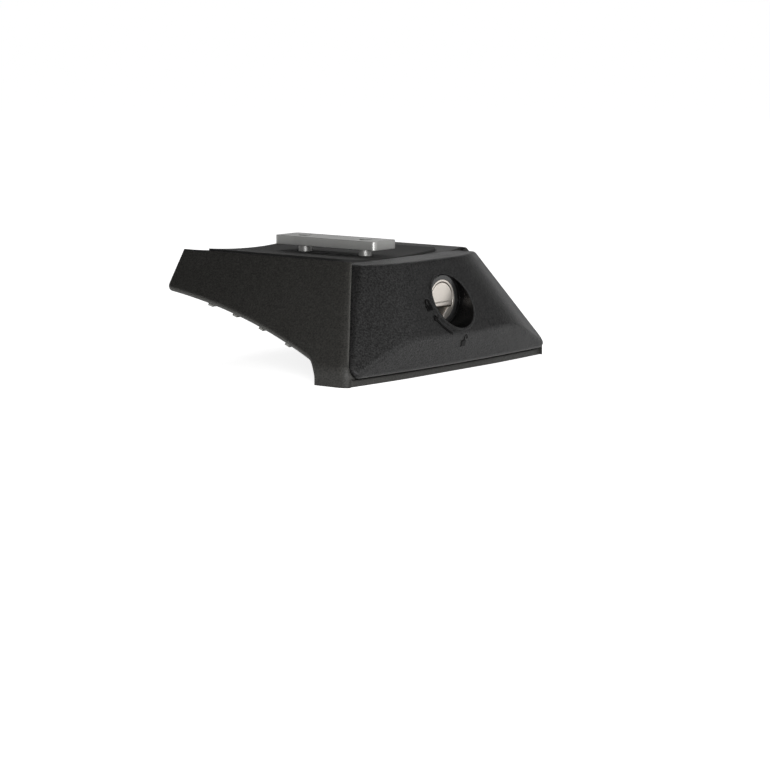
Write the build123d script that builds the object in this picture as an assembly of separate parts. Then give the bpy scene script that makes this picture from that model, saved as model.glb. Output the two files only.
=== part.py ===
"""Roof bar foot: a hollow moulded leg with a lockable outer cover.

Frame: +X outboard, Y along the base, +Z up, origin at the centre of the base's underside. Millimetres.
"""

from build123d import *
import math
import os

# Leg, overall
base_length = 142.5          # Y
base_width = 19.6            # X
leg_height = 49.5            # at the front and rear top edges
saddle_width = 85.5          # Y, at the top edges
saddle_sag = 3.0             # dip of the saddle at its middle
arm_reach = 109.6            # tip of the arm, inboard of the base's centre
tip_thickness = 17.7
arm_root_height = 8.2        # where the arm's underside meets the base's inboard wall
underside_bow = 3.1
flank_knee_height = 7.8      # the flanks stand upright below this and lean in above it
outboard_knee_height = 6.0
outboard_top_x = -12.6       # outboard face at the top edges
knee_radius = 9.0
arm_root_radius = 8.0
corner_radius = 6.0
tip_edge_radius = 3.0
lower_edge_share = 0.8526    # how far up the flanks the lower edges' rounding reaches, of the tip's radius
wall = 3.2

# Arm, inside
slab_thickness = 5.0         # under the saddle's middle
rib_positions = [-81.9, -65.7, -48.1, -30.2]
rib_thickness = 2.6
rib_drop = 1.0               # how far the ribs stand below the underside
rib_end_gap = 2.0            # the dropped lip stops short of the flanks

# Bay behind the cover
floor_thickness = 4.0
bay_side = 6.4               # bay side to flank
bay_back_x = -27.0
bay_back_drop = 10.6         # sloping floor's back edge, below the lock's axis
bay_step_drop = 20.1         # and its front edge
bay_roof_rise = 11.9         # above the lock's axis
rebate_depth = 5.0
base_hole_inset = 23.25      # from the base's ends
base_hole_diameter = 6.6
strip_bow = 3.2              # the strip below the cover falls back this far at its ends
strip_proud = 0.6            # and stands out this far at its middle

# Saddle pad
pad_thickness = 3.0
pad_pocket = 2.0             # sunk into the saddle
pad_outboard_x = -24.0
pad_inboard_x = -104.0
pad_width = 68.0
pad_corner_radius = 4.0
pad_clearance = 0.15

# Clamp to the bar
bolt_diameter = 6.0
bolt_length = 20.0
bolt_head_diameter = 10.0
bolt_head_height = 6.0
bolt_socket = 5.0            # across flats
bolt_middle_x = -56.5
bolt_pitch = 35.0
boss_diameter = 16.4
boss_height = 8.5            # below the saddle's middle
head_pocket_diameter = 16.0
sleeve_diameter = 9.0
sleeve_bore = 6.6
washer_diameter = 12.0
washer_thickness = 1.6
spring_washer_diameter = 10.6
spring_washer_thickness = 1.5
spring_washer_split = 1.2
channel_lip = 3.2            # thickness of the bar's channel lips, between pad and plate
plate_length = 58.0
plate_width = 16.0
plate_thickness = 4.0
plate_corner_radius = 2.0
thread_clearance = 0.05
fit_clearance = 0.05

# Load plate on the bay floor
load_plate_width = 10.6
load_plate_thickness = 3.0
load_plate_gap = 0.5         # to the bay's inboard wall
load_plate_end_gap = 6.85    # to the bay's ends

# Cover
cover_margin = 2.5           # cover's edge to the flank
cover_gap = 0.8
cover_seat_gap = 0.3
cover_low = 3.6
cover_top_drop = 1.2         # below the leg's top edges
cover_corner_radius = 3.5
cover_wall = 2.5
cover_skin = 3.2             # wall measured along X
ridge_height = 17.0
ridge_x = 16.8
panel_lean = 28.5            # degrees, upper panel
shoulder_low = 39.7          # half width of the upper panel at the ridge
shoulder_draw = 0.474        # how fast the shoulders close in with height
hip_slope = 0.54             # fall of the front and rear facets, along X for each unit of Y
shoulder_radius = 45.0
chin_lean = 13.0             # degrees, lower panel
crease_radius = 3.0
lip_radius = 2.0

# Lock
lock_height = 30.6
well_radius = 11.2
well_half_width = 12.6       # outboard of the lock's face the well is an oval
well_wall = 2.2
well_rim_width = 1.0
well_rim_height = 0.5
lock_setback = 5.5           # lock's face behind the upper panel, on the lock's axis
flange_radius = 10.9
flange_thickness = 1.7
housing_radius = 10.2
housing_length = 16.9
housing_lip = 1.3
well_boss_length = 10.9      # from the lock's face back to the clip
plug_radius = 9.0
plug_setback = 0.2           # plug's face behind the housing's face
tail_radius = 4.0
tail_length = 4.0            # past the housing
clip_thickness = 1.1
clip_radius = 12.2
clip_groove = 0.4
clip_room = 0.3              # round the clip, in the cover
clip_mouth = 60.0            # degrees

# Key throat and flap
flap_radius = 7.8
flap_thickness = 1.0
flap_low = -2.7              # straight lower edge, from the lock's axis
flap_gap = 0.3
flap_swing_room = 0.7        # below the flap's lower edge
flap_crease = -0.9
flap_crease_depth = 0.3
flap_pivot_height = 4.8
flap_pivot_setback = 2.4
flap_ear_radius = 1.2
flap_ear_thickness = 1.2
flap_ear_offset = 3.6
flap_pocket_depth = 8.6
flap_pin_radius = 0.6
throat_half_width = 5.4
throat_low = -8.2
throat_end_low = -5.4        # at the throat's inner end
throat_depth = 5.0
key_slot_width = 2.4
key_slot_depth = 15.0
spring_wire = 0.35
spring_turns = 4
spring_pitch = 0.6
spring_radius = 1.0

# Cam and catch
cam_thickness = 2.5
cam_width = 8.0
cam_reach = 13.0
cam_hub_radius = 5.4
cam_washer_radius = 4.6
cam_washer_thickness = 0.8
cam_screw_radius = 3.4
cam_screw_head = 2.4
cam_screw_shank = 1.5
cam_screw_length = 8.0
cam_screw_slot = 1.0
catch_sheet = 2.0
catch_gap = 0.4              # between the cam and the catch's lip
catch_height = 12.0
catch_outer_y = -24.0
catch_inner_y = -6.2
catch_plate_inner_y = -9.0
catch_screw_pitch = 6.0
catch_screw_radius = 1.5
catch_screw_head_radius = 2.8
catch_screw_head = 1.8
catch_screw_length = 8.0
catch_boss_radius = 3.6

# Worked out from the sizes above
half_base = base_length / 2
half_width = base_width / 2
flank_draw = (half_base - saddle_width / 2) / (leg_height - flank_knee_height)
outboard_draw = (half_width - outboard_top_x) / (leg_height - outboard_knee_height)
saddle_radius = saddle_width**2 / (8 * saddle_sag) + saddle_sag / 2
saddle_low = leg_height - saddle_sag
flank_lean = math.atan(flank_draw)
lower_edge_radius = lower_edge_share * tip_edge_radius * math.tan(math.pi / 4 - flank_lean / 2)
bay_back_low = lock_height - bay_back_drop
bay_step_low = lock_height - bay_step_drop
bay_roof = lock_height + bay_roof_rise
boss_bottom = saddle_low - boss_height
base_hole_pitch = base_length - 2 * base_hole_inset
load_plate_length = base_length - 2 * (bay_side + load_plate_end_gap)
cover_top = leg_height - cover_top_drop
rebate_top = leg_height + cover_corner_radius + cover_gap
hollow_ceiling = saddle_low - slab_thickness
panel_draw = math.tan(math.radians(panel_lean))
chin_draw = math.tan(math.radians(chin_lean))
lock_face_x = ridge_x - panel_draw * (lock_height - ridge_height) - lock_setback
housing_back_x = lock_face_x - housing_length
boss_back_x = lock_face_x - well_boss_length
bolt_positions = [bolt_middle_x + bolt_pitch / 2, bolt_middle_x - bolt_pitch / 2]
head_seat = boss_bottom - washer_thickness - spring_washer_thickness
pad_top = saddle_low - pad_pocket + pad_thickness
plate_bottom = pad_top + channel_lip
cam_front_x = housing_back_x - tail_length
cam_back_x = cam_front_x - cam_thickness
far = 3 * (base_length + arm_reach)
hair = 0.01                  # for telling positions apart
overlap = 1.0                # cutters run this far past the faces they open


# Simple solids
def block(x0, x1, y0, y1, z0, z1):
    box = Box(x1 - x0, y1 - y0, z1 - z0)
    return Pos((x0 + x1) / 2, (y0 + y1) / 2, (z0 + z1) / 2) * box


def rod_x(radius, x0, x1, y=0.0, z=lock_height):
    return Pos((x0 + x1) / 2, y, z) * Rot(0, 90, 0) * Cylinder(radius, x1 - x0)


def rod_y(radius, y0, y1, x, z):
    return Pos(x, (y0 + y1) / 2, z) * Rot(90, 0, 0) * Cylinder(radius, y1 - y0)


def rod_z(radius, z0, z1, x, y=0.0):
    return Pos(x, y, (z0 + z1) / 2) * Cylinder(radius, z1 - z0)


def saddle_cylinder(lift):
    rod = Cylinder(saddle_radius - lift, far)
    return Pos(0, 0, saddle_low + saddle_radius) * Rot(0, 90, 0) * rod


# Flanks: outlines seen along X
def flank_half(z):
    return half_base - flank_draw * (z - flank_knee_height)


def flank_outline(inset, low, high):
    base_half = half_base - inset
    top_half = flank_half(high) - inset / math.cos(flank_lean)
    knee = flank_knee_height - inset * math.tan(flank_lean / 2)
    right = [(base_half, -leg_height), (base_half, knee), (top_half, high)]
    left = [(-y, z) for y, z in reversed(right)]
    outline = Polygon(*right, *left, align=None)
    knees = outline.vertices().filter_by(lambda v: abs(v.Y - knee) < hair)
    outline = fillet(knees, knee_radius)
    return outline & Pos(0, (low + high) / 2) * Rectangle(2 * base_length, high - low)


def flank_prism(inset, low, high):
    return extrude(Plane.YZ * flank_outline(inset, low, high), far, both=True)


def cover_prism(inset, high):
    radius = cover_corner_radius - inset
    core = flank_outline(cover_margin + inset + radius, cover_low + inset + radius, high - radius)
    return extrude(Plane.YZ * offset(core, radius), far, both=True)


# Outlines seen along Y
def outboard_x(z):
    return half_width - outboard_draw * (z - outboard_knee_height)


def inboard_of(depth):
    front_x = half_width - depth
    high = 2 * leg_height
    knee = (front_x, outboard_knee_height)
    front = [(front_x, -leg_height), knee, (outboard_x(high) - depth, high)]
    back = [(-2 * arm_reach, high), (-2 * arm_reach, -leg_height)]
    outline = Polygon(*front, *back, align=None)
    corner = outline.vertices().sort_by_distance((*knee, 0))[0]
    return extrude(Plane.XZ * fillet(corner, knee_radius), far, both=True)


def arm_prism():
    tip_low = (-arm_reach, leg_height - tip_thickness)
    root = (-half_width, arm_root_height)
    base = [(-half_width, 0), (base_width, 0)]
    top = [(base_width, leg_height), (-arm_reach, leg_height)]
    underside = SagittaArc(tip_low, root, underside_bow)
    outline = make_face(Polyline(root, *base, *top, tip_low).edges() + underside.edges())
    root_corner = outline.vertices().sort_by_distance((*root, 0))[0]
    outline = fillet(root_corner, arm_root_radius)
    tip_corner = outline.vertices().sort_by_distance((*tip_low, 0))[0]
    outline = fillet(tip_corner, tip_edge_radius)
    return extrude(Plane.XZ * outline, far, both=True)


# Leg body
def on_flank(point):
    return abs(abs(point.Y) - min(half_base, flank_half(point.Z))) < knee_radius / 8


def on_outboard_face(point):
    return abs(point.X - min(half_width, outboard_x(point.Z))) < knee_radius / 8


def is_outboard_corner(edge):
    point = edge @ 0.5
    runs_up = hair < (edge @ 0.5).Z < leg_height - hair
    return on_flank(point) and on_outboard_face(point) and runs_up


def is_lower_edge(edge):
    point = edge @ 0.5
    runs_along = abs((edge % 0.5).X) > 1 - hair / 10
    below_top = point.Z < leg_height - lower_edge_radius
    return on_flank(point) and point.X < -half_width + hair and below_top and not runs_along


def leg_form():
    form = (arm_prism() & inboard_of(0) & flank_prism(0, 0, leg_height)).solid()
    form = form.fillet(corner_radius, form.edges().filter_by(is_outboard_corner))
    return form.fillet(lower_edge_radius, form.edges().filter_by(is_lower_edge))


def arm_hollow():
    inside = block(-arm_reach + wall, bay_back_x - wall, -far, far, -far, hollow_ceiling)
    return inside & flank_prism(wall, 0, leg_height)


def arm_ribs(form):
    dropped = Pos(0, 0, -rib_drop) * form & flank_prism(rib_end_gap, -leg_height, leg_height)
    ribs = []
    half = rib_thickness / 2
    for x in rib_positions:
        ribs.append(block(x - half, x + half, -far, far, -far, hollow_ceiling) & dropped)
    return ribs


def bay():
    outline = Polygon(
        (far, floor_thickness),
        (-half_width + wall, floor_thickness),
        (-half_width + wall, bay_step_low),
        (bay_back_x, bay_back_low),
        (bay_back_x, bay_roof),
        (far, bay_roof),
        align=None,
    )
    return extrude(Plane.XZ * outline, far, both=True) & flank_prism(bay_side, floor_thickness, leg_height)


def strip_prism():
    end = half_base
    middle = half_width + strip_proud
    ends = middle - strip_bow
    front = ThreePointArc((ends, -end), (middle, 0), (ends, end))
    back = Polyline((ends, end), (-far, end), (-far, -end), (ends, -end))
    return extrude(make_face(front.edges() + back.edges()), far, both=True)


def pad_block(grow):
    length = pad_outboard_x - pad_inboard_x + 2 * grow
    outline = RectangleRounded(length, pad_width + 2 * grow, pad_corner_radius + grow)
    return Pos((pad_outboard_x + pad_inboard_x) / 2, 0, 0) * extrude(outline, 2 * leg_height)


def catch_screw_heights():
    return [lock_height - catch_screw_pitch / 2, lock_height + catch_screw_pitch / 2]


def catch_screw_y():
    return (catch_outer_y + catch_plate_inner_y) / 2


def make_leg_body():
    form = leg_form()
    body = form - arm_hollow()
    body = body + arm_ribs(form)
    body = body + [rod_z(boss_diameter / 2, boss_bottom, saddle_low, x) for x in bolt_positions]
    for z in catch_screw_heights():
        end_x = bay_back_x - catch_screw_length + overlap
        body = body + rod_x(catch_boss_radius, end_x, bay_back_x, catch_screw_y(), z)
    body = body - saddle_cylinder(0)
    body = body - (pad_block(pad_clearance) & saddle_cylinder(-pad_pocket))
    body = body - bay()
    body = body - (cover_prism(-cover_gap, rebate_top + overlap) - inboard_of(rebate_depth))
    strip_zone = block(0, far, -half_base + cover_margin, half_base - cover_margin, -overlap, cover_low)
    body = body - (strip_zone - strip_prism())
    for x in bolt_positions:
        body = body - rod_z(head_pocket_diameter / 2, 0, boss_bottom, x)
        body = body - rod_z(sleeve_diameter / 2 + fit_clearance, 0, leg_height, x)
    for y in (-base_hole_pitch / 2, base_hole_pitch / 2):
        body = body - rod_z(base_hole_diameter / 2, -overlap, floor_thickness + overlap, 0, y)
    for z in catch_screw_heights():
        end_x = bay_back_x - catch_screw_length
        body = body - rod_x(catch_screw_radius, end_x, bay_back_x + overlap, catch_screw_y(), z)
    return body


# Saddle pad and clamp
def make_saddle_pad():
    pad = pad_block(0) & saddle_cylinder(-pad_pocket)
    pad = pad - saddle_cylinder(pad_thickness - pad_pocket)
    for x in bolt_positions:
        pad = pad - rod_z(sleeve_bore / 2, 0, 2 * leg_height, x)
    return pad


def bolt_ring(diameter, low, high, x):
    return rod_z(diameter / 2, low, high, x) - rod_z(sleeve_bore / 2, 0, leg_height, x)


def make_clamp_sleeves():
    top = saddle_low - pad_pocket
    return [bolt_ring(sleeve_diameter, boss_bottom, top, x) for x in bolt_positions]


def make_clamp_washers():
    low = boss_bottom - washer_thickness
    return [bolt_ring(washer_diameter, low, boss_bottom, x) for x in bolt_positions]


def make_clamp_spring_washers():
    high = head_seat + spring_washer_thickness
    half = spring_washer_split / 2
    split = block(0, washer_diameter, -half, half, 0, leg_height)
    washers = []
    for x in bolt_positions:
        washers.append(bolt_ring(spring_washer_diameter, head_seat, high, x) - Pos(x, 0, 0) * split)
    return washers


def make_clamp_bolt(x):
    head_low = head_seat - bolt_head_height
    head = rod_z(bolt_head_diameter / 2, head_low, head_seat, x)
    head = chamfer(head.edges().group_by(Axis.Z)[0], bolt_head_height / 12)
    tip = head_seat + bolt_length
    shank = rod_z(bolt_diameter / 2, head_seat, tip, x)
    shank = chamfer(shank.edges().group_by(Axis.Z)[-1], bolt_diameter / 10)
    socket = extrude(RegularPolygon(bolt_socket / 2, 6, major_radius=False), bolt_head_height / 2)
    return head + shank - Pos(x, 0, head_low) * socket


def make_channel_plate():
    outline = RectangleRounded(plate_length, plate_width, plate_corner_radius)
    plate = Pos(bolt_middle_x, 0, plate_bottom) * extrude(outline, plate_thickness)
    for x in bolt_positions:
        plate = plate - rod_z(bolt_diameter / 2 + thread_clearance, 0, 2 * leg_height, x)
    return plate


def make_base_load_plate():
    low_x = -half_width + wall + load_plate_gap
    plate = block(low_x, low_x + load_plate_width, -load_plate_length / 2, load_plate_length / 2,
                  floor_thickness, floor_thickness + load_plate_thickness)
    plate = fillet(plate.edges().filter_by(Axis.Z), load_plate_thickness)
    for y in (-base_hole_pitch / 2, base_hole_pitch / 2):
        plate = plate - rod_z(base_hole_diameter / 2, 0, leg_height, 0, y)
    return plate


# Cover
def dome_section(z):
    panel_x = ridge_x - panel_draw * (z - ridge_height)
    shoulder = shoulder_low - shoulder_draw * (z - ridge_height)
    back_x = -arm_reach / 2
    reach = shoulder + (panel_x - back_x) / hip_slope
    near_side = [(back_x, -reach), (panel_x, -shoulder)]
    far_side = [(panel_x, shoulder), (back_x, reach)]
    outline = Polygon(*near_side, *far_side, align=None)
    shoulders = outline.vertices().filter_by(lambda v: abs(v.X - panel_x) < hair)
    return Pos(0, 0, z) * fillet(shoulders, shoulder_radius)


def chin_prism():
    middle = ridge_x - chin_draw * ridge_height
    ends = middle - strip_bow
    front = ThreePointArc((ends, -half_base), (middle, 0), (ends, half_base))
    back = Polyline((ends, half_base), (-far, half_base), (-far, -half_base), (ends, -half_base))
    outline = make_face(front.edges() + back.edges())
    return extrude(outline, 2 * leg_height, dir=(chin_draw, 0, 1))


def pillow():
    dome = loft([dome_section(0), dome_section(cover_top + crease_radius)], ruled=True)
    return (dome & chin_prism()).solid()


def is_crease(edge):
    def off_chin(point):
        middle = ridge_x - chin_draw * (ridge_height - point.Z)
        return abs(middle - strip_bow * (point.Y / half_base) ** 2 - point.X)

    spots = [edge @ at for at in (0.1, 0.5, 0.9)]
    on_chin = all(off_chin(spot) < crease_radius / 30 for spot in spots)
    return on_chin and spots[1].Z > hair and abs(spots[1].Y) < half_base - hair


def lip_edges(form):
    walls = form.faces().filter_by(lambda face: abs(face.normal_at().X) < hair)
    outer = walls.edges().filter_by(lambda edge: (edge @ 0.5).X > bay_back_x)
    return outer.filter_by(lambda edge: abs((edge % 0.5).X) < 1 - hair)


def cover_form():
    form = pillow()
    form = form.fillet(crease_radius, form.edges().filter_by(is_crease))
    form = (form & cover_prism(0, cover_top)).solid()
    return form.fillet(lip_radius, lip_edges(form))


def well_oval(grow, x0):
    outline = Plane.YZ * Ellipse(well_half_width + grow, well_radius + grow)
    return Pos(x0, 0, lock_height) * extrude(outline, far)


def make_outer_cover():
    form = cover_form()
    hollow = Pos(-cover_skin, 0, 0) * pillow() & cover_prism(cover_wall, cover_top - cover_wall)
    cover = form - hollow
    boss = well_oval(well_wall, boss_back_x) & form
    rim = well_oval(well_rim_width, 0) & Pos(well_rim_height, 0, 0) * form
    cover = cover + boss + (rim & well_oval(well_wall, lock_face_x))
    cover = cover - well_oval(0, lock_face_x)
    cover = cover - rod_x(well_radius, lock_face_x - flange_thickness, far)
    cover = cover - rod_x(housing_radius + fit_clearance, -far, far)
    cover = cover - rod_x(clip_radius + clip_room, -far, boss_back_x)
    behind = inboard_of(rebate_depth - cover_seat_gap) - well_oval(well_wall, boss_back_x)
    return cover - behind


# Lock
def make_lock_housing():
    flange_back = lock_face_x - flange_thickness
    housing = rod_x(flange_radius, flange_back, lock_face_x)
    housing = housing + rod_x(housing_radius, housing_back_x, flange_back)
    housing = housing - rod_x(plug_radius + fit_clearance, housing_back_x + housing_lip, far)
    housing = housing - rod_x(tail_radius + fit_clearance, -far, far)
    groove = rod_x(flange_radius, boss_back_x - clip_thickness - 2 * fit_clearance, boss_back_x)
    return housing - (groove - rod_x(housing_radius - clip_groove, -far, far))


def make_lock_clip():
    high = boss_back_x - fit_clearance
    ring = rod_x(clip_radius, high - clip_thickness, high)
    ring = ring - rod_x(housing_radius - clip_groove + fit_clearance, -far, far)
    reach = 2 * clip_radius
    half_mouth = reach * math.tan(math.radians(clip_mouth / 2))
    mouth = Polygon((0, 0), (-half_mouth, -reach), (half_mouth, -reach), align=None)
    return ring - Pos(0, 0, lock_height) * extrude(Plane.YZ * mouth, far, both=True)


def flap_outline(grow, low):
    disc = Circle(flap_radius + grow)
    keep = Pos(0, low + flap_radius) * Rectangle(4 * flap_radius, 2 * flap_radius)
    return Plane.YZ * (disc & keep)


def on_lock(shape, x):
    return Pos(x, 0, lock_height) * shape


def plug_face_x():
    return lock_face_x - plug_setback


def flap_pivot():
    return (plug_face_x() - flap_pivot_setback, lock_height + flap_pivot_height)


def flap_pocket():
    pivot_x, pivot_z = flap_pivot()
    outline = flap_outline(flap_gap, flap_low - flap_swing_room)
    pocket = on_lock(extrude(outline, flap_pocket_depth), plug_face_x() - flap_pocket_depth)
    ear_room = flap_ear_radius + flap_gap
    return pocket - block(-far, pivot_x - ear_room, -far, far, pivot_z + ear_room, far)


def throat_outline(half, low, x):
    outline = Polygon((-half, flap_low), (half, flap_low), (0, low), align=None)
    return on_lock(Plane.YZ * outline, x)


def key_throat():
    face_x = plug_face_x()
    wide = throat_outline(throat_half_width, throat_low, face_x)
    narrow = throat_outline(key_slot_width, throat_end_low, face_x - throat_depth)
    half = key_slot_width / 2
    slot = block(face_x - key_slot_depth, far, -half, half, lock_height + throat_low, lock_height - flap_low)
    return [loft([wide, narrow], ruled=True), slot]


def make_lock_plug():
    plug = rod_x(plug_radius, housing_back_x + housing_lip + fit_clearance, plug_face_x())
    plug = plug + rod_x(tail_radius, cam_front_x, housing_back_x + 2 * housing_lip)
    plug = plug - flap_pocket()
    plug = plug - key_throat()
    pivot_x, pivot_z = flap_pivot()
    plug = plug - rod_y(flap_pin_radius + fit_clearance / 2, -plug_radius, plug_radius, pivot_x, pivot_z)
    screw_end = cam_front_x + cam_screw_length - cam_thickness
    return plug - rod_x(cam_screw_shank, cam_front_x - overlap, screw_end)


def make_key_flap():
    face_x = plug_face_x()
    plate = on_lock(extrude(flap_outline(0, flap_low), flap_thickness), face_x - flap_thickness)
    plate = chamfer(plate.edges().group_by(Axis.X)[-1], flap_thickness / 4)
    crease_z = lock_height + flap_crease
    half = flap_crease_depth / 2
    plate = plate - block(face_x - flap_crease_depth, far, -far, far, crease_z - half, crease_z + half)
    pivot_x, pivot_z = flap_pivot()
    plate_x = face_x - flap_thickness / 2
    for middle in (-flap_ear_offset, flap_ear_offset):
        y0 = middle - flap_ear_thickness / 2
        y1 = middle + flap_ear_thickness / 2
        plate = plate + rod_y(flap_ear_radius, y0, y1, pivot_x, pivot_z)
        plate = plate + block(pivot_x, plate_x, y0, y1, pivot_z - flap_ear_radius, pivot_z + flap_ear_radius)
    return plate - rod_y(flap_pin_radius + fit_clearance, -far, far, pivot_x, pivot_z)


def make_flap_pin():
    pivot_x, pivot_z = flap_pivot()
    half = math.sqrt(plug_radius**2 - (flap_pivot_height + flap_pin_radius) ** 2)
    return rod_y(flap_pin_radius, -half, half, pivot_x, pivot_z)


def make_flap_spring():
    pivot_x, pivot_z = flap_pivot()
    length = spring_turns * spring_pitch
    path = Helix(spring_pitch, length, spring_radius)
    wire = sweep(Plane(path @ 0, z_dir=path % 0) * Circle(spring_wire / 2), path)
    return Pos(pivot_x, length / 2, pivot_z) * Rot(90, 0, 0) * wire


# Cam and catch
def make_lock_cam():
    hub = rod_x(cam_hub_radius, cam_back_x, cam_front_x)
    arm = block(cam_back_x, cam_front_x, -cam_width / 2, cam_width / 2, lock_height - cam_reach, lock_height)
    arm = fillet(arm.edges().filter_by(Axis.X).group_by(Axis.Z)[0], cam_width / 4)
    return hub + arm - rod_x(cam_screw_shank + fit_clearance, -far, far)


def make_cam_washer():
    washer = rod_x(cam_washer_radius, cam_back_x - cam_washer_thickness, cam_back_x)
    return washer - rod_x(cam_screw_shank + fit_clearance, -far, far)


def make_cam_screw():
    seat = cam_back_x - cam_washer_thickness
    head = rod_x(cam_screw_radius, seat - cam_screw_head, seat)
    head = fillet(head.edges().group_by(Axis.X)[0], cam_screw_head / 3)
    shank = rod_x(cam_screw_shank, seat, seat + cam_screw_length)
    low = lock_height - cam_screw_slot / 2
    slot = block(seat - cam_screw_head, seat - cam_screw_head / 2, -far, far, low, low + cam_screw_slot)
    return head + shank - slot


def make_lock_catch():
    low = lock_height - catch_height / 2
    high = lock_height + catch_height / 2
    lip_x = cam_front_x + catch_gap
    plate = block(bay_back_x, bay_back_x + catch_sheet, catch_outer_y, catch_plate_inner_y, low, high)
    side = block(bay_back_x, lip_x + catch_sheet, catch_outer_y, catch_outer_y + catch_sheet, low, high)
    lip = block(lip_x, lip_x + catch_sheet, catch_outer_y, catch_inner_y, low, high)
    catch = plate + side + lip
    plate_end = bay_back_x + catch_sheet + overlap
    for z in catch_screw_heights():
        catch = catch - rod_x(catch_screw_radius + 2 * fit_clearance, -far, plate_end, catch_screw_y(), z)
    return catch


def make_catch_screws():
    screws = []
    seat = bay_back_x + catch_sheet
    for z in catch_screw_heights():
        head = rod_x(catch_screw_head_radius, seat, seat + catch_screw_head, catch_screw_y(), z)
        head = fillet(head.edges().group_by(Axis.X)[-1], catch_screw_head / 3)
        shank = rod_x(catch_screw_radius - fit_clearance, seat - catch_screw_length, seat, catch_screw_y(), z)
        screws.append(head + shank)
    return screws


# Pieces by name
pieces = {
    "leg_body": make_leg_body(),
    "saddle_pad": make_saddle_pad(),
    "clamp_sleeves": make_clamp_sleeves(),
    "clamp_washers": make_clamp_washers(),
    "clamp_spring_washers": make_clamp_spring_washers(),
    "clamp_bolt_outer": make_clamp_bolt(bolt_positions[0]),
    "clamp_bolt_inner": make_clamp_bolt(bolt_positions[1]),
    "channel_plate": make_channel_plate(),
    "base_load_plate": make_base_load_plate(),
    "outer_cover": make_outer_cover(),
    "lock_housing": make_lock_housing(),
    "lock_clip": make_lock_clip(),
    "lock_plug": make_lock_plug(),
    "key_flap": make_key_flap(),
    "flap_pin": make_flap_pin(),
    "flap_spring": make_flap_spring(),
    "lock_cam": make_lock_cam(),
    "cam_washer": make_cam_washer(),
    "cam_screw": make_cam_screw(),
    "lock_catch": make_lock_catch(),
    "catch_screws": make_catch_screws(),
}


def solids_of(shape):
    shapes = shape if isinstance(shape, list) else [shape]
    return [solid for item in shapes for solid in item.solids()]


os.makedirs("parts", exist_ok=True)
for name, shape in pieces.items():
    export_step(Compound(children=solids_of(shape)), f"parts/{name}.step")
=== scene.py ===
import math
import bmesh
import bpy
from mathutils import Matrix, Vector
from mathutils.bvhtree import BVHTree


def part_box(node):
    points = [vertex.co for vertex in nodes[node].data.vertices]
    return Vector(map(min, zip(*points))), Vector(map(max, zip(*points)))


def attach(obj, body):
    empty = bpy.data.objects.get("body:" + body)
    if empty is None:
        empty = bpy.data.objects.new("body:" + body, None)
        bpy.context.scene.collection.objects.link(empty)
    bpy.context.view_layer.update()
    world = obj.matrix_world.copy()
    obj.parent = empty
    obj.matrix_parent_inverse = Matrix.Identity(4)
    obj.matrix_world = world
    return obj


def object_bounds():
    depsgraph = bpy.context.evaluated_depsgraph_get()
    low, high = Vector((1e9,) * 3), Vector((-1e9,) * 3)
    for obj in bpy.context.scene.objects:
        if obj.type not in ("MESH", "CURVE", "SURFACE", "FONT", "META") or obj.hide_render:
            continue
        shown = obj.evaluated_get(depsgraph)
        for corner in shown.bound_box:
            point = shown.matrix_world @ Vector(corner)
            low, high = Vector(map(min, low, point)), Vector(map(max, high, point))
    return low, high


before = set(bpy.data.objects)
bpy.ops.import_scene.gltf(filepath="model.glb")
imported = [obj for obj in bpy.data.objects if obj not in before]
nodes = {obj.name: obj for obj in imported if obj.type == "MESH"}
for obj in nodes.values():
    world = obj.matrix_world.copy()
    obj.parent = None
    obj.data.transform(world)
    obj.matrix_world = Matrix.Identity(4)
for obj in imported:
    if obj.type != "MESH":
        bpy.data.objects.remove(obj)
lowStart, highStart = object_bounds()
print("stage: frame loaded")


# node helpers
number = "NodeSocketFloat"
vector = "NodeSocketVector"
mixSockets = {"factor": 0, "first": 6, "second": 7, "result": 2}  # the colour sockets of a Mix node


def addNode(tree, kind, values=None, **settings):
    node = tree.nodes.new(kind)
    for key, value in settings.items():
        setattr(node, key, value)
    for socket, value in (values or {}).items():
        node.inputs[socket].default_value = value
    return node


def link(tree, source, output, target, socket):
    tree.links.new(source.outputs[output], target.inputs[socket])


def newGroup(name, inputs, outputs):
    tree = bpy.data.node_groups.new(name, "ShaderNodeTree")
    for label, kind in inputs:
        tree.interface.new_socket(label, in_out="INPUT", socket_type=kind)
    for label, kind in outputs:
        tree.interface.new_socket(label, in_out="OUTPUT", socket_type=kind)
    return tree, tree.nodes.new("NodeGroupInput"), tree.nodes.new("NodeGroupOutput")


def useGroup(tree, group, **values):
    node = tree.nodes.new("ShaderNodeGroup")
    node.node_tree = group
    for label, value in values.items():
        node.inputs[label].default_value = value
    return node


# moulded grain: fine pebbles on a soft wave, as a height and a speckle
grainLook = {
    "smoothness": 0.7, "speckDetail": 3.0, "speckRough": 0.6, "cloudDetail": 4.0, "cloudRough": 0.55,
    "speckLow": 0.35, "speckHigh": 0.65}


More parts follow.
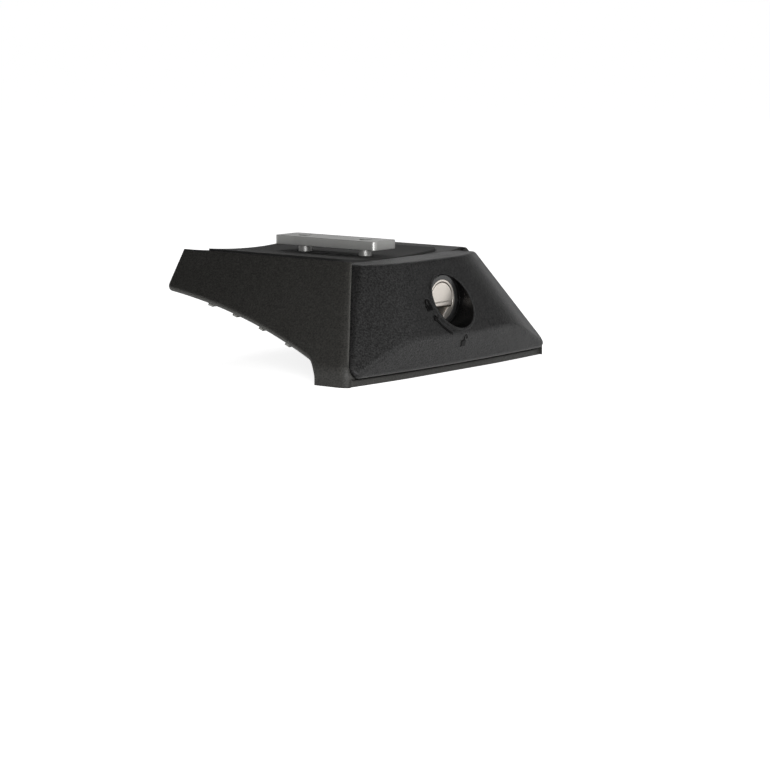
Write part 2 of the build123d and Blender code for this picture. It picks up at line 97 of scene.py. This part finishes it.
def makeGrain():
    tree, start, end = newGroup(
        "mouldGrain",
        [("Vector", vector), ("Size", number), ("Wave", number)],
        [("Height", number), ("Speckle", number), ("Cloud", number)])
    perMetre = addNode(tree, "ShaderNodeMath", {0: 1.0}, operation="DIVIDE")
    link(tree, start, "Size", perMetre, 1)
    pebbles = addNode(tree, "ShaderNodeTexVoronoi", feature="SMOOTH_F1")
    pebbles.inputs["Smoothness"].default_value = grainLook["smoothness"]
    link(tree, start, "Vector", pebbles, "Vector")
    link(tree, perMetre, "Value", pebbles, "Scale")
    specks = addNode(tree, "ShaderNodeTexNoise",
                     {"Detail": grainLook["speckDetail"], "Roughness": grainLook["speckRough"]})
    link(tree, start, "Vector", specks, "Vector")
    link(tree, perMetre, "Value", specks, "Scale")
    perWave = addNode(tree, "ShaderNodeMath", {0: 1.0}, operation="DIVIDE")
    link(tree, start, "Wave", perWave, 1)
    cloud = addNode(tree, "ShaderNodeTexNoise",
                    {"Detail": grainLook["cloudDetail"], "Roughness": grainLook["cloudRough"]})
    link(tree, start, "Vector", cloud, "Vector")
    link(tree, perWave, "Value", cloud, "Scale")
    height = addNode(tree, "ShaderNodeMath", operation="ADD")
    link(tree, pebbles, "Distance", height, 0)
    link(tree, specks, "Fac", height, 1)
    link(tree, height, "Value", end, "Height")
    contrast = addNode(tree, "ShaderNodeMapRange",
                       {"From Min": grainLook["speckLow"], "From Max": grainLook["speckHigh"]})
    link(tree, specks, "Fac", contrast, "Value")
    link(tree, contrast, "Result", end, "Speckle")
    link(tree, cloud, "Fac", end, "Cloud")
    return tree


# edge wear: where a rounded normal leaves the flat one, broken up by noise
wearLook = {
    "samples": 6, "turnStart": 0.995, "turnFull": 0.8,
    "patchScale": 900.0, "patchDetail": 4.0, "patchRough": 0.65}


def makeWear():
    tree, start, end = newGroup(
        "edgeWear",
        [("Vector", vector), ("Amount", number), ("Round", number)],
        [("Mask", number), ("Normal", vector)])
    bevel = addNode(tree, "ShaderNodeBevel", samples=wearLook["samples"])
    link(tree, start, "Round", bevel, "Radius")
    flat = addNode(tree, "ShaderNodeNewGeometry")
    same = addNode(tree, "ShaderNodeVectorMath", operation="DOT_PRODUCT")
    link(tree, bevel, "Normal", same, 0)
    link(tree, flat, "Normal", same, 1)
    turned = addNode(tree, "ShaderNodeMapRange",
                     {"From Min": wearLook["turnStart"], "From Max": wearLook["turnFull"]})
    link(tree, same, "Value", turned, "Value")
    patches = addNode(tree, "ShaderNodeTexNoise", {
        "Scale": wearLook["patchScale"], "Detail": wearLook["patchDetail"],
        "Roughness": wearLook["patchRough"]})
    link(tree, start, "Vector", patches, "Vector")
    broken = addNode(tree, "ShaderNodeMath", operation="MULTIPLY")
    link(tree, turned, "Result", broken, 0)
    link(tree, patches, "Fac", broken, 1)
    mask = addNode(tree, "ShaderNodeMath", operation="MULTIPLY", use_clamp=True)
    link(tree, broken, "Value", mask, 0)
    link(tree, start, "Amount", mask, 1)
    link(tree, mask, "Value", end, "Mask")
    link(tree, bevel, "Normal", end, "Normal")
    return tree


# dust: thin film on faces that look up
dustLook = {"upStart": 0.2, "upFull": 1.0, "filmScale": 160.0, "filmDetail": 6.0, "filmRough": 0.7}


def makeDust():
    tree, start, end = newGroup(
        "dustFilm",
        [("Vector", vector), ("Amount", number)],
        [("Mask", number)])
    flat = addNode(tree, "ShaderNodeNewGeometry")
    split = addNode(tree, "ShaderNodeSeparateXYZ")
    link(tree, flat, "Normal", split, "Vector")
    upward = addNode(tree, "ShaderNodeMapRange",
                     {"From Min": dustLook["upStart"], "From Max": dustLook["upFull"]})
    link(tree, split, "Z", upward, "Value")
    film = addNode(tree, "ShaderNodeTexNoise", {
        "Scale": dustLook["filmScale"], "Detail": dustLook["filmDetail"], "Roughness": dustLook["filmRough"]})
    link(tree, start, "Vector", film, "Vector")
    lying = addNode(tree, "ShaderNodeMath", operation="MULTIPLY")
    link(tree, upward, "Result", lying, 0)
    link(tree, film, "Fac", lying, 1)
    mask = addNode(tree, "ShaderNodeMath", operation="MULTIPLY", use_clamp=True)
    link(tree, lying, "Value", mask, 0)
    link(tree, start, "Amount", mask, 1)
    link(tree, mask, "Value", end, "Mask")
    return tree


grainGroup = makeGrain()
wearGroup = makeWear()
dustGroup = makeDust()
print("stage: shader groups made")


def newMaterial(name):
    material = bpy.data.materials.new(name)
    material.use_nodes = True
    material.node_tree.nodes.clear()
    tree = material.node_tree
    out = tree.nodes.new("ShaderNodeOutputMaterial")
    shader = tree.nodes.new("ShaderNodeBsdfPrincipled")
    link(tree, shader, "BSDF", out, "Surface")
    place = tree.nodes.new("ShaderNodeTexCoord")
    return material, tree, shader, place


def mixColours(tree, first, second, mask, output):
    mix = addNode(tree, "ShaderNodeMix", data_type="RGBA")
    mix.inputs[mixSockets["second"]].default_value = second
    if isinstance(first, tuple):
        mix.inputs[mixSockets["first"]].default_value = first
    else:
        tree.links.new(first, mix.inputs[mixSockets["first"]])
    link(tree, mask, output, mix, mixSockets["factor"])
    return mix.outputs[mixSockets["result"]]


# low edges: painted highlight, a lighter band along edges that turn under, above the base, standing in for
# light caught by the rounded lower edge
lowEdgeHighlightLook = {
    "samples": 8, "levelStart": 0.25, "underFull": -0.25, "turnStart": 0.99, "turnFull": 0.85,
    "sideStart": 0.2, "sideFull": 0.5}


def lowEdgeHighlightMask(tree, place, look):
    bevel = addNode(tree, "ShaderNodeBevel", {"Radius": look["lowEdge"]}, samples=lowEdgeHighlightLook["samples"])
    normalParts = tree.nodes.new("ShaderNodeSeparateXYZ")
    link(tree, bevel, "Normal", normalParts, "Vector")
    under = addNode(tree, "ShaderNodeMapRange",
                    {"From Min": lowEdgeHighlightLook["levelStart"], "From Max": lowEdgeHighlightLook["underFull"]})
    link(tree, normalParts, "Z", under, "Value")
    placeParts = tree.nodes.new("ShaderNodeSeparateXYZ")
    link(tree, place, "Object", placeParts, "Vector")
    above = addNode(tree, "ShaderNodeMapRange",
                    {"From Min": look["lowEdgeFrom"], "From Max": 2 * look["lowEdgeFrom"]})
    link(tree, placeParts, "Z", above, "Value")
    flat = tree.nodes.new("ShaderNodeNewGeometry")
    same = addNode(tree, "ShaderNodeVectorMath", operation="DOT_PRODUCT")
    link(tree, bevel, "Normal", same, 0)
    link(tree, flat, "Normal", same, 1)
    turned = addNode(tree, "ShaderNodeMapRange",
                     {"From Min": lowEdgeHighlightLook["turnStart"], "From Max": lowEdgeHighlightLook["turnFull"]})
    link(tree, same, "Value", turned, "Value")
    sideways = addNode(tree, "ShaderNodeMath", operation="ABSOLUTE")
    link(tree, normalParts, "Y", sideways, 0)
    flank = addNode(tree, "ShaderNodeMapRange",
                    {"From Min": lowEdgeHighlightLook["sideStart"], "From Max": lowEdgeHighlightLook["sideFull"]})
    link(tree, sideways, "Value", flank, "Value")
    mask = turned
    output = "Result"
    for part in (under, above, flank):
        product = addNode(tree, "ShaderNodeMath", operation="MULTIPLY")
        link(tree, mask, output, product, 0)
        link(tree, part, "Result", product, 1)
        mask = product
        output = "Value"
    return mask


# moulded black plastic and rubber share one recipe
def mouldedMaterial(name, look):
    material, tree, shader, place = newMaterial(name)
    grain = useGroup(tree, grainGroup, Size=look["grainSize"], Wave=look["waveSize"])
    wear = useGroup(tree, wearGroup, Amount=look["wear"], Round=look["edgeRound"])
    dust = useGroup(tree, dustGroup, Amount=look["dust"])
    for group in (grain, wear, dust):
        link(tree, place, "Object", group, "Vector")
    colour = mixColours(tree, look["colour"], look["speckColour"], grain, "Speckle")
    colour = mixColours(tree, colour, look["wearColour"], wear, "Mask")
    colour = mixColours(tree, colour, look["dustColour"], dust, "Mask")
    rough = addNode(tree, "ShaderNodeMapRange", {"To Min": look["roughLow"], "To Max": look["roughHigh"]})
    link(tree, grain, "Cloud", rough, "Value")
    roughness = rough.outputs["Result"]
    if "lowEdge" in look:
        # painted highlight: a lighter colour along the low edges that turn under
        lowEdge = lowEdgeHighlightMask(tree, place, look)
        colour = mixColours(tree, colour, look["lowEdgeHighlightColour"], lowEdge, "Value")
        polish = addNode(tree, "ShaderNodeMix", {"B": look["lowEdgeRough"]}, data_type="FLOAT")
        tree.links.new(roughness, polish.inputs["A"])
        link(tree, lowEdge, "Value", polish, "Factor")
        roughness = polish.outputs["Result"]
    tree.links.new(colour, shader.inputs["Base Color"])
    tree.links.new(roughness, shader.inputs["Roughness"])
    bump = addNode(tree, "ShaderNodeBump", {"Strength": look["bump"], "Distance": look["grainDepth"]})
    link(tree, grain, "Height", bump, "Height")
    link(tree, wear, "Normal", bump, "Normal")
    link(tree, bump, "Normal", shader, "Normal")
    shader.inputs["Specular IOR Level"].default_value = look["specular"]
    return material


# metal: fine brushing, faint stains and worn edges
metalNoise = {"brushDetail": 5.0, "stainDetail": 4.0, "rough": 0.6}


def metalMaterial(name, look):
    material, tree, shader, place = newMaterial(name)
    wear = useGroup(tree, wearGroup, Amount=look["wear"], Round=look["edgeRound"])
    link(tree, place, "Object", wear, "Vector")
    stretch = addNode(tree, "ShaderNodeMapping", {"Scale": look["brushing"]})
    link(tree, place, "Object", stretch, "Vector")
    brush = addNode(tree, "ShaderNodeTexNoise", {
        "Scale": look["brushScale"], "Detail": metalNoise["brushDetail"], "Roughness": metalNoise["rough"]})
    link(tree, stretch, "Vector", brush, "Vector")
    stain = addNode(tree, "ShaderNodeTexNoise", {
        "Scale": look["stainScale"], "Detail": metalNoise["stainDetail"], "Roughness": metalNoise["rough"]})
    link(tree, place, "Object", stain, "Vector")
    colour = mixColours(tree, look["colour"], look["stainColour"], stain, "Fac")
    colour = mixColours(tree, colour, look["wearColour"], wear, "Mask")
    tree.links.new(colour, shader.inputs["Base Color"])
    rough = addNode(tree, "ShaderNodeMapRange", {"To Min": look["roughLow"], "To Max": look["roughHigh"]})
    link(tree, brush, "Fac", rough, "Value")
    link(tree, rough, "Result", shader, "Roughness")
    bump = addNode(tree, "ShaderNodeBump", {"Strength": look["bump"], "Distance": look["brushDepth"]})
    link(tree, brush, "Fac", bump, "Height")
    link(tree, wear, "Normal", bump, "Normal")
    link(tree, bump, "Normal", shader, "Normal")
    shader.inputs["Metallic"].default_value = 1.0
    return material


def dress(material, *names):
    for name in names:
        piece = nodes[name]
        piece.data.materials.clear()
        piece.data.materials.append(material)


# leg: black moulded nylon
legLook = {
    "colour": (0.012, 0.0117, 0.0107, 1), "speckColour": (0.036, 0.035, 0.032, 1),
    "wearColour": (0.08, 0.08, 0.075, 1), "dustColour": (0.20, 0.195, 0.185, 1),
    "grainSize": 0.0007, "waveSize": 0.016, "grainDepth": 0.00010, "bump": 0.5,
    "wear": 0.2, "edgeRound": 0.0014, "dust": 0.03, "roughLow": 0.40, "roughHigh": 0.58, "specular": 0.24,
    # lowEdge keys: a painted highlight along the lower edges
    "lowEdge": 0.0036, "lowEdgeFrom": 0.005, "lowEdgeHighlightColour": (0.40, 0.40, 0.37, 1), "lowEdgeRough": 0.18}
dress(mouldedMaterial("legPlastic", legLook), "leg_body")

# cover: the same nylon with a deeper grain
coverLook = {
    "colour": (0.003, 0.003, 0.003, 1), "speckColour": (0.028, 0.028, 0.028, 1),
    "wearColour": (0.07, 0.07, 0.07, 1), "dustColour": (0.20, 0.195, 0.19, 1),
    "grainSize": 0.0007, "waveSize": 0.014, "grainDepth": 0.00016, "bump": 0.7,
    "wear": 0.3, "edgeRound": 0.0006, "dust": 0.02, "roughLow": 0.34, "roughHigh": 0.50, "specular": 0.16}
dress(mouldedMaterial("coverPlastic", coverLook), "outer_cover")

# well: the oval opening in the cover is polished, not grained; its colour, darker than the cover's, is partly
# that smooth finish and partly painted shade in the recess
wellLook = {
    "halfWidth": 0.0127, "halfHeight": 0.0113, "depth": 0.0,
    "colour": (0.002, 0.002, 0.002, 1), "speckColour": (0.004, 0.004, 0.004, 1),
    "wearColour": (0.05, 0.05, 0.05, 1), "dustColour": (0.2, 0.2, 0.19, 1),
    "grainSize": 0.0004, "waveSize": 0.006, "grainDepth": 0.00002, "bump": 0.1,
    "wear": 0.3, "edgeRound": 0.0004, "dust": 0.02, "roughLow": 0.20, "roughHigh": 0.28, "specular": 0.08}
lockLow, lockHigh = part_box("lock_housing")
lockHeight = (lockLow.z + lockHigh.z) / 2
coverMesh = nodes["outer_cover"].data
wellMaterial = mouldedMaterial("wellPlastic", wellLook)
coverMesh.materials.append(wellMaterial)
for face in coverMesh.polygons:
    spots = [coverMesh.vertices[index].co for index in face.vertices]
    reach = 0.0
    for spot in spots:
        across = spot.y / wellLook["halfWidth"]
        upward = (spot.z - lockHeight) / wellLook["halfHeight"]
        reach = max(reach, math.hypot(across, upward))
    if reach < 1 and min(spot.x for spot in spots) > wellLook["depth"]:
        face.material_index = 1

# lock sleeve: smooth black
sleeveLook = {
    "colour": (0.012, 0.012, 0.012, 1), "speckColour": (0.018, 0.018, 0.018, 1),
    "wearColour": (0.09, 0.09, 0.09, 1), "dustColour": (0.2, 0.2, 0.19, 1),
    "grainSize": 0.0003, "waveSize": 0.006, "grainDepth": 0.00003, "bump": 0.15,
    "wear": 0.4, "edgeRound": 0.0003, "dust": 0.03, "roughLow": 0.22, "roughHigh": 0.36, "specular": 0.5}
dress(mouldedMaterial("sleevePlastic", sleeveLook), "lock_housing")

# saddle pad: matt rubber
padLook = {
    "colour": (0.022, 0.022, 0.022, 1), "speckColour": (0.032, 0.032, 0.031, 1),
    "wearColour": (0.07, 0.07, 0.07, 1), "dustColour": (0.22, 0.21, 0.2, 1),
    "grainSize": 0.0005, "waveSize": 0.02, "grainDepth": 0.0001, "bump": 0.4,
    "wear": 0.3, "edgeRound": 0.0006, "dust": 0.08, "roughLow": 0.72, "roughHigh": 0.90, "specular": 0.35}
dress(mouldedMaterial("padRubber", padLook), "saddle_pad")

# lock face: bright satin plating
lockLook = {
    "colour": (0.62, 0.58, 0.53, 1), "stainColour": (0.55, 0.51, 0.47, 1),
    "wearColour": (0.72, 0.70, 0.66, 1),
    "brushing": (1, 14, 1), "brushScale": 700.0, "stainScale": 140.0, "brushDepth": 0.00002, "bump": 0.12,
    "wear": 0.5, "edgeRound": 0.0003, "roughLow": 0.30, "roughHigh": 0.46}
dress(metalMaterial("lockPlating", lockLook), "lock_plug", "key_flap")

# hidden steel: dull zinc
zincLook = {
    "colour": (0.42, 0.42, 0.41, 1), "stainColour": (0.32, 0.32, 0.31, 1),
    "wearColour": (0.56, 0.56, 0.55, 1),
    "brushing": (1, 6, 6), "brushScale": 500.0, "stainScale": 90.0, "brushDepth": 0.00003, "bump": 0.15,
    "wear": 0.5, "edgeRound": 0.0004, "roughLow": 0.34, "roughHigh": 0.52}
zincPieces = [
    "clamp_bolt_outer", "clamp_bolt_inner", "clamp_sleeves", "clamp_washers", "clamp_spring_washers",
    "channel_plate", "base_load_plate", "lock_cam", "cam_washer", "cam_screw", "lock_catch", "catch_screws"]
dress(metalMaterial("zincSteel", zincLook), *zincPieces)

# springs, pin and clip: oiled spring steel
springLook = {
    "colour": (0.34, 0.34, 0.36, 1), "stainColour": (0.22, 0.22, 0.23, 1),
    "wearColour": (0.55, 0.55, 0.56, 1),
    "brushing": (4, 4, 1), "brushScale": 900.0, "stainScale": 200.0, "brushDepth": 0.00002, "bump": 0.1,
    "wear": 0.4, "edgeRound": 0.0002, "roughLow": 0.30, "roughHigh": 0.45}
dress(metalMaterial("springSteel", springLook), "lock_clip", "flap_pin", "flap_spring")
print("stage: materials done")

# lock marks: raised strokes laid on the cover round the well, plain padlocks and an arrow, in the well's dark
# colour as painted shade standing in for the shadow inside engraved marks
markLook = {
    "lean": 28.5, "lockPoint": (0.0094, 0, lockHeight), "rayStart": 0.02,
    "height": 0.0004, "sink": 0.0002, "fine": 0.0009, "steps": 24,
    "arcRadius": 0.0172, "arcStart": 240, "arcEnd": 200,
    "arrowSpread": 0.0017, "arrowSlant": 0.8, "arrowTip": 0.0004,
    "shutPlace": (-0.0172, -0.0004), "shutSize": 1.0, "openPlace": (-0.0004, -0.0180), "openSize": 0.75,
    "bodyWidth": 0.0038, "bodyHeight": 0.0026, "shackle": 0.0012, "shackleWidth": 0.0008,
    "openShift": 0.0017, "openGap": 0.0007}
coverCorners = [corner.co for corner in coverMesh.vertices]
coverFaces = [face.vertices for face in coverMesh.polygons]
coverTree = BVHTree.FromPolygons(coverCorners, coverFaces)
leanAngle = math.radians(markLook["lean"])
panelNormal = Vector((math.cos(leanAngle), 0, math.sin(leanAngle)))
panelUp = Vector((-math.sin(leanAngle), 0, math.cos(leanAngle)))


def onCover(side, up, lift):
    start = Vector(markLook["lockPoint"]) + Vector((0, side, 0)) + panelUp * up
    start = start + panelNormal * markLook["rayStart"]
    spot = coverTree.ray_cast(start, -panelNormal)[0] + panelNormal * lift
    spot.x = min(spot.x, highStart.x)  # no further out than the cover's ridge
    return spot


def addStroke(bm, points, width):
    rows = []
    for index, point in enumerate(points):
        before = Vector(points[max(index - 1, 0)])
        after = Vector(points[min(index + 1, len(points) - 1)])
        along = (after - before).normalized()
        across = Vector((-along.y, along.x)) * width / 2
        left = Vector(point) + across
        right = Vector(point) - across
        row = [onCover(left.x, left.y, -markLook["sink"]), onCover(left.x, left.y, markLook["height"]),
               onCover(right.x, right.y, markLook["height"]), onCover(right.x, right.y, -markLook["sink"])]
        rows.append([bm.verts.new(place) for place in row])
    for first, second in zip(rows, rows[1:]):
        for corner in range(len(first)):
            following = (corner + 1) % len(first)
            bm.faces.new((first[corner], first[following], second[following], second[corner]))
    bm.faces.new(rows[0])
    bm.faces.new(list(reversed(rows[-1])))


def arcPoints(middle, radius, start, end):
    points = []
    for step in range(markLook["steps"] + 1):
        angle = math.radians(start + (end - start) * step / markLook["steps"])
        points.append((middle[0] + radius * math.cos(angle), middle[1] + radius * math.sin(angle)))
    return points


def addPadlock(bm, place, size, isOpen):
    side, up = place
    half = markLook["bodyWidth"] * size / 2
    bodyHeight = markLook["bodyHeight"] * size
    middle = up - bodyHeight / 2
    addStroke(bm, [(side - half, middle), (side, middle), (side + half, middle)], bodyHeight)
    shackle = markLook["shackle"] * size
    shift = markLook["openShift"] * size if isOpen else 0
    gap = markLook["openGap"] * size if isOpen else 0  # an open shackle's free leg ends above the body
    ring = arcPoints((side + shift, up + shackle), shackle, 0, 180)
    freeLeg = (side + shift + shackle, up + gap)
    fixedLeg = (side + shift - shackle, up)
    addStroke(bm, [freeLeg] + ring + [fixedLeg], markLook["shackleWidth"] * size)


def makeMarks():
    bm = bmesh.new()
    arc = arcPoints((0, 0), markLook["arcRadius"], markLook["arcStart"], markLook["arcEnd"])
    addStroke(bm, arc, markLook["fine"])
    tip = Vector(arc[-1])
    along = (tip - Vector(arc[-3])).normalized()
    across = Vector((-along.y, along.x))
    for sign in (-1, 1):
        outward = across * sign * markLook["arrowSpread"] * markLook["arrowSlant"]
        barb = tip - along * markLook["arrowSpread"] + outward
        point = tip + along * markLook["arrowTip"]
        addStroke(bm, [tuple(point), tuple((tip + barb) / 2), tuple(barb)], markLook["fine"])
    addPadlock(bm, markLook["shutPlace"], markLook["shutSize"], False)
    addPadlock(bm, markLook["openPlace"], markLook["openSize"], True)
    bmesh.ops.recalc_face_normals(bm, faces=bm.faces)
    mesh = bpy.data.meshes.new("lock_marks")
    bm.to_mesh(mesh)
    bm.free()
    # painted shade: the marks take the well's dark colour in place of the shadow in engraved marks
    mesh.materials.append(wellMaterial)
    marks = bpy.data.objects.new("lock_marks", mesh)
    bpy.context.scene.collection.objects.link(marks)
    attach(marks, "cover")


makeMarks()
print("stage: lock marks done")

# stage: white floor that keeps the shadow, white behind it
stageLook = {
    "size": 60.0, "height": -0.0001, "colour": (0.86, 0.86, 0.86, 1), "lift": 0.83,
    "speckScale": 40.0, "speckDetail": 3.0, "roughLow": 0.85, "roughHigh": 0.95,
    "white": (1, 1, 1, 1), "worldStrength": 0.2, "whiteBelow": 0.10, "darkAbove": 0.45, "overhead": 0.05}


def seenRay(tree):  # one for camera, glossy and transmission rays
    path = addNode(tree, "ShaderNodeLightPath")
    first = addNode(tree, "ShaderNodeMath", operation="MAXIMUM")
    link(tree, path, "Is Camera Ray", first, 0)
    link(tree, path, "Is Glossy Ray", first, 1)
    both = addNode(tree, "ShaderNodeMath", operation="MAXIMUM")
    link(tree, first, "Value", both, 0)
    link(tree, path, "Is Transmission Ray", both, 1)
    return both


def makeFloor():
    mesh = bpy.data.meshes.new("floor")
    half = stageLook["size"] / 2
    corners = [(-half, -half), (half, -half), (half, half), (-half, half)]
    mesh.from_pydata([(x, y, stageLook["height"]) for x, y in corners], [], [(0, 1, 2, 3)])
    floor = bpy.data.objects.new("floor", mesh)
    bpy.context.scene.collection.objects.link(floor)
    material, tree, shader, place = newMaterial("floorWhite")
    speck = addNode(tree, "ShaderNodeTexNoise",
                    {"Scale": stageLook["speckScale"], "Detail": stageLook["speckDetail"]})
    link(tree, place, "Object", speck, "Vector")
    rough = addNode(tree, "ShaderNodeMapRange",
                    {"To Min": stageLook["roughLow"], "To Max": stageLook["roughHigh"]})
    link(tree, speck, "Fac", rough, "Value")
    link(tree, rough, "Result", shader, "Roughness")
    shader.inputs["Base Color"].default_value = stageLook["colour"]
    shader.inputs["Specular IOR Level"].default_value = 0.0
    shader.inputs["Emission Color"].default_value = stageLook["white"]
    lift = addNode(tree, "ShaderNodeMath", {1: stageLook["lift"]}, operation="MULTIPLY")
    link(tree, seenRay(tree), "Value", lift, 0)
    link(tree, lift, "Value", shader, "Emission Strength")
    mesh.materials.append(material)


def makeWorld():
    world = bpy.data.worlds.new("studio")
    bpy.context.scene.world = world
    world.use_nodes = True
    tree = world.node_tree
    tree.nodes.clear()
    out = tree.nodes.new("ShaderNodeOutputWorld")
    light = addNode(tree, "ShaderNodeBackground", {"Strength": stageLook["worldStrength"]})
    white = tree.nodes.new("ShaderNodeBackground")
    direction = tree.nodes.new("ShaderNodeTexCoord")
    split = tree.nodes.new("ShaderNodeSeparateXYZ")
    link(tree, direction, "Generated", split, "Vector")
    fall = addNode(tree, "ShaderNodeMapRange", {
        "From Min": stageLook["whiteBelow"], "From Max": stageLook["darkAbove"],
        "To Min": 1.0, "To Max": stageLook["overhead"]})
    link(tree, split, "Z", fall, "Value")
    link(tree, fall, "Result", white, "Strength")
    for node in (light, white):
        node.inputs["Color"].default_value = stageLook["white"]
    mix = addNode(tree, "ShaderNodeMixShader")
    link(tree, seenRay(tree), "Value", mix, "Fac")
    link(tree, light, "Background", mix, 1)
    link(tree, white, "Background", mix, 2)
    link(tree, mix, "Shader", out, "Surface")


# lights: soft boxes aimed at the foot
lights = {
    "key": {"place": (0.50, 0.12, 0.30), "size": 0.35, "power": 1.4},
    "fill": {"place": (0.15, -0.23, 0.06), "size": 0.12, "power": 0.5},
    "back": {"place": (-0.6, 1.0, 1.2), "size": 0.8, "power": 4.0}}
aimPoint = Vector((-0.03, 0, 0.03))


def makeLights():
    for name, look in lights.items():
        lamp = bpy.data.lights.new(name, "AREA")
        lamp.shape = "DISK"
        lamp.size = look["size"]
        lamp.energy = look["power"]
        holder = bpy.data.objects.new(name, lamp)
        holder.location = look["place"]
        holder.rotation_euler = (aimPoint - holder.location).to_track_quat("-Z", "Y").to_euler()
        bpy.context.scene.collection.objects.link(holder)


# camera: the photo's place and lens
cameraLook = {
    "place": (0.7533, -0.97855, 0.17075), "forward": (-0.6175, 0.7735, -0.1426),
    "lens": 132.97, "sensor": 36.0, "nearest": 0.01}


def makeCamera():
    data = bpy.data.cameras.new("photoCamera")
    data.lens = cameraLook["lens"]
    data.sensor_width = cameraLook["sensor"]
    data.clip_start = cameraLook["nearest"]
    data.dof.use_dof = False
    camera = bpy.data.objects.new("photoCamera", data)
    camera.location = cameraLook["place"]
    camera.rotation_euler = Vector(cameraLook["forward"]).to_track_quat("-Z", "Y").to_euler()
    bpy.context.scene.collection.objects.link(camera)
    bpy.context.scene.camera = camera


makeFloor()
makeWorld()
makeLights()
makeCamera()
bpy.context.scene.view_settings.view_transform = "Standard"
print("stage: set and camera done")
